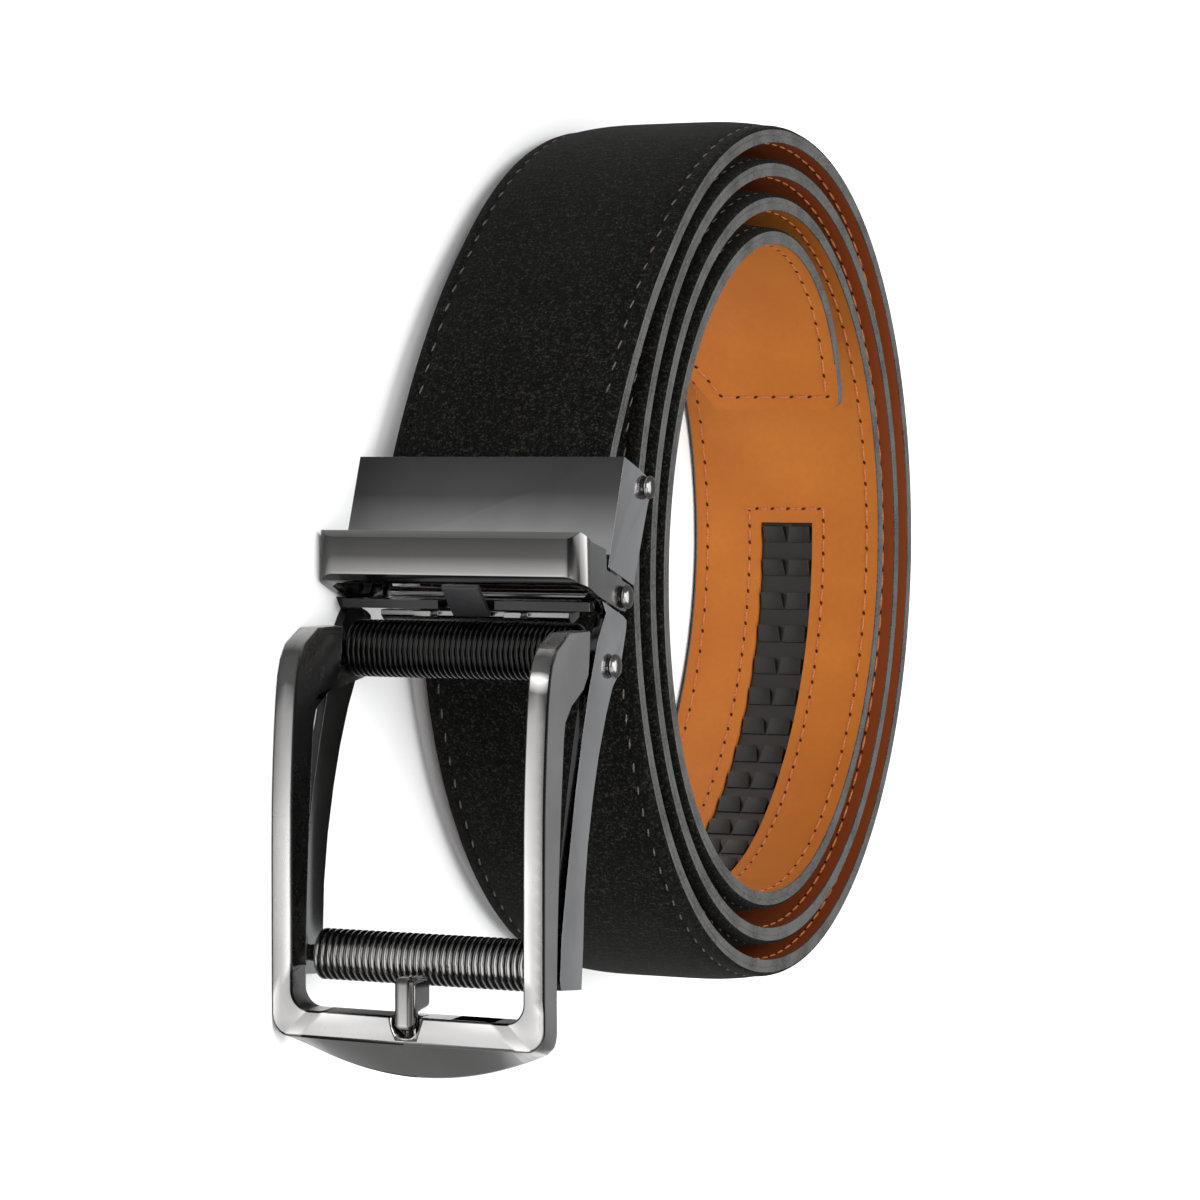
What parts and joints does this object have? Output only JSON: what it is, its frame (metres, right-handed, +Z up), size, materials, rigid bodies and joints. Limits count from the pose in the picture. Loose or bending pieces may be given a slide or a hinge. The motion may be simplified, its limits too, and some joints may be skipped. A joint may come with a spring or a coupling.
{
  "type": "belt",
  "caption": "Coiled ratchet belt: black suede strap with tan lining and toothed track, held in a dark metal clamp with keeper loop and hinged automatic buckle styled as a pin buckle",
  "frame": {"origin": "centre of the bounding box in plan, at the floor the coiled belt lies on", "axes": "+Z up, along the strap's width and the coil's axis; +X the way the buckle hangs from its clamp; -Y the side of the coil that carries the buckle"},
  "size_m": [0.1422, 0.1824, 0.0437],
  "materials": {
    "suede": "black suede, matte",
    "lining": "smooth tan, satin",
    "track": "charcoal moulded plastic",
    "black_nickel": "polished black nickel",
    "pin_steel": "bright steel",
    "dark_tab": "black, satin"
  },
  "bodies": {
    "strap_and_clamp": {"strap_leather": "suede", "strap_lining": "lining", "toothed_track": "track", "clamp_channel": "black_nickel", "clamp_jaw": "black_nickel", "clamp_pin": "pin_steel", "keeper_loop": "black_nickel", "hinge_pin": "pin_steel"},
    "buckle_frame": {"rear_frame": "black_nickel", "upper_ribbed_bar": "black_nickel", "lower_ribbed_bar": "black_nickel", "pawl": "pin_steel", "release_tab": "dark_tab", "frame_pin_upper": "pin_steel", "frame_pin_lower": "pin_steel"},
    "front": {"front_frame": "black_nickel", "prong": "black_nickel"}
  },
  "joints": [
    {"name": "buckle_hinge", "type": "hinge", "parent": "strap_and_clamp", "child": "buckle_frame", "pos_m": [0.00389, -0.06234, 0.0212], "axis": [0, 0, 1], "range_deg": [0, 35]},
    {"name": "front_hinge", "type": "hinge", "parent": "buckle_frame", "child": "front", "pos_m": [0.01359, -0.06674, 0.0212], "axis": [0, 0, -1], "range_deg": [0, 12], "stiffness_Nm_per_rad": 0.02}
  ]
}
